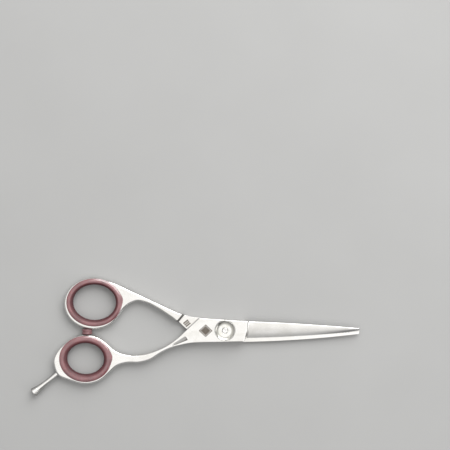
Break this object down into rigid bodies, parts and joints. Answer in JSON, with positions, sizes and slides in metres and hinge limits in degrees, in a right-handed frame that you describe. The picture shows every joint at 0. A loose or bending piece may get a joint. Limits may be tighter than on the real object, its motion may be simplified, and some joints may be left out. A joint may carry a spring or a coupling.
{
  "type": "thinning shears",
  "caption": "Hairdressing thinning shears: one plain and one toothed blade on a dial-tensioned pivot, with cushioned offset finger rings, a rubber bumper and a screw-in finger rest.",
  "frame": {"origin": "on the pivot axis, at the flat back face of the pivot bolt, which is the face the closed shears lie on", "axes": "+X along the closed blades to their tips, +Y to the thumb ring, +Z along the pivot axis to the tension dial"},
  "size_m": [0.1634, 0.0589, 0.0069],
  "materials": {
    "polished_steel": "polished stainless steel",
    "tool_steel": "ground hardened steel",
    "bronze": "turned bearing bronze",
    "low_friction_plastic": "off-white low-friction sheet",
    "rose_rubber": "smooth dusty-rose rubber, slightly translucent"
  },
  "bodies": {
    "finger_side": {"finger_half_plain_blade": "polished_steel", "pivot_bolt": "tool_steel", "click_plate": "tool_steel", "finger_ring_insert": "rose_rubber"},
    "thumb_side": {"thumb_half_comb_blade": "polished_steel", "pivot_bushing": "bronze", "blade_washer": "low_friction_plastic", "thumb_ring_insert": "rose_rubber", "ring_bumper": "rose_rubber"},
    "dial": {"tension_dial": "polished_steel", "dial_wave_spring": "tool_steel"},
    "rest": {"finger_rest": "polished_steel"}
  },
  "joints": [
    {"name": "blade_pivot", "type": "hinge", "parent": "finger_side", "child": "thumb_side", "pos_m": [0, 0, 0.00264], "axis": [0, 0, -1], "range_deg": [0, 140]},
    {"name": "tension_dial_turn", "type": "hinge", "parent": "finger_side", "child": "dial", "pos_m": [0, 0, 0.0061], "axis": [0, 0, 1], "range_deg": [-180, 180]},
    {"name": "finger_rest_unscrew", "type": "slide", "parent": "finger_side", "child": "rest", "axis": [-0.783, -0.622, 0], "range_m": [0, 0.003]}
  ]
}
